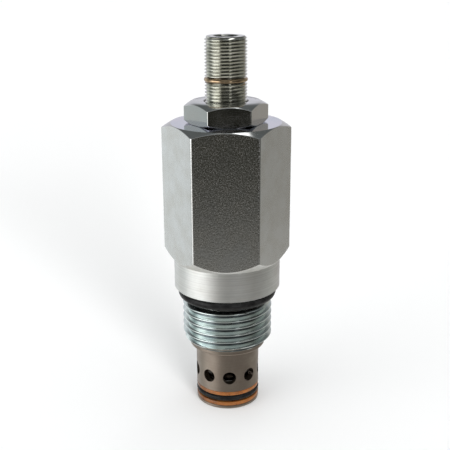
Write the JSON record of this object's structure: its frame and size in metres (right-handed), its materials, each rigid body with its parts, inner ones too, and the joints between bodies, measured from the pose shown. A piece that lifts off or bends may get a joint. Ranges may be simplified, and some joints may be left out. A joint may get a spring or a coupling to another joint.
{
  "type": "hydraulic cartridge relief valve",
  "caption": "Screw-in hydraulic cartridge relief valve with wrench hex, threaded body, drilled nose with seals, and a screw adjuster with lock nut.",
  "frame": {"origin": "centre of the shoulder face that meets the manifold", "axes": "+Z along the valve's axis towards the adjusting screw, -Y normal to one wrench flat"},
  "size_m": [0.0306, 0.0266, 0.0914],
  "materials": {
    "body_zinc": "bright zinc plate, satin",
    "cage_steel": "turned hardened steel, oiled",
    "nut_steel": "bright zinc plate",
    "screw_steel": "rolled thread, zinc plate",
    "ring_bronze": "bronze wire, glossy",
    "seal_rubber": "moulded rubber, glossy",
    "backup_plastic": "orange-brown plastic, satin",
    "inner_steel": "ground steel",
    "filter_brass": "perforated brass",
    "spring_steel": "drawn spring steel"
  },
  "bodies": {
    "valve_body": {"hex_body": "body_zinc", "cage": "cage_steel", "pilot_seat": "inner_steel", "pilot_seat_o_ring": "seal_rubber", "shoulder_o_ring": "seal_rubber", "nose_backup_ring_upper": "backup_plastic", "nose_o_ring": "seal_rubber", "nose_backup_ring_lower": "backup_plastic", "main_spring": "spring_steel", "pilot_spring": "spring_steel"},
    "poppet": {"main_poppet": "inner_steel", "orifice_plug": "inner_steel", "filter_screen": "filter_brass", "filter_retaining_ring": "spring_steel"},
    "pilot": {"pilot_poppet": "inner_steel"},
    "button": {"spring_button": "inner_steel"},
    "adjuster": {"adjusting_screw": "screw_steel", "adjuster_o_ring": "seal_rubber", "adjuster_backup_ring": "backup_plastic", "snap_ring": "ring_bronze"},
    "nut_seal": {"nut_seal_ring": "seal_rubber"},
    "nut": {"lock_nut": "nut_steel"}
  },
  "joints": [
    {"name": "main_poppet_lift", "type": "slide", "parent": "valve_body", "child": "poppet", "axis": [0, 0, 1], "range_m": [0, 0.002], "stiffness_N_per_m": 3000, "springref_m": -0.004, "deforming": ["main_spring"]},
    {"name": "pilot_poppet_lift", "type": "slide", "parent": "valve_body", "child": "pilot", "axis": [0, 0, 1], "range_m": [0, 0.0004], "stiffness_N_per_m": 20000, "springref_m": -0.0005},
    {"name": "adjuster_travel", "type": "slide", "parent": "valve_body", "child": "button", "axis": [0, 0, 1], "range_m": [-0.00337, 0], "deforming": ["pilot_spring"]},
    {"name": "adjuster_turn", "type": "hinge", "parent": "button", "child": "adjuster", "pos_m": [0, 0, 0.0472], "axis": [0, 0, 1], "range_deg": [-1620, 0]},
    {"name": "nut_travel", "type": "slide", "parent": "valve_body", "child": "nut_seal", "axis": [0, 0, 1], "range_m": [0, 0.00075]},
    {"name": "nut_turn", "type": "hinge", "parent": "nut_seal", "child": "nut", "pos_m": [0, 0, 0.0431], "axis": [0, 0, 1], "range_deg": [0, 360]}
  ],
  "couplings": [
    {"joint": "adjuster_turn", "follows": "adjuster_travel", "rad_per_m": 8377.6},
    {"joint": "nut_turn", "follows": "nut_travel", "rad_per_m": 8377.6}
  ]
}
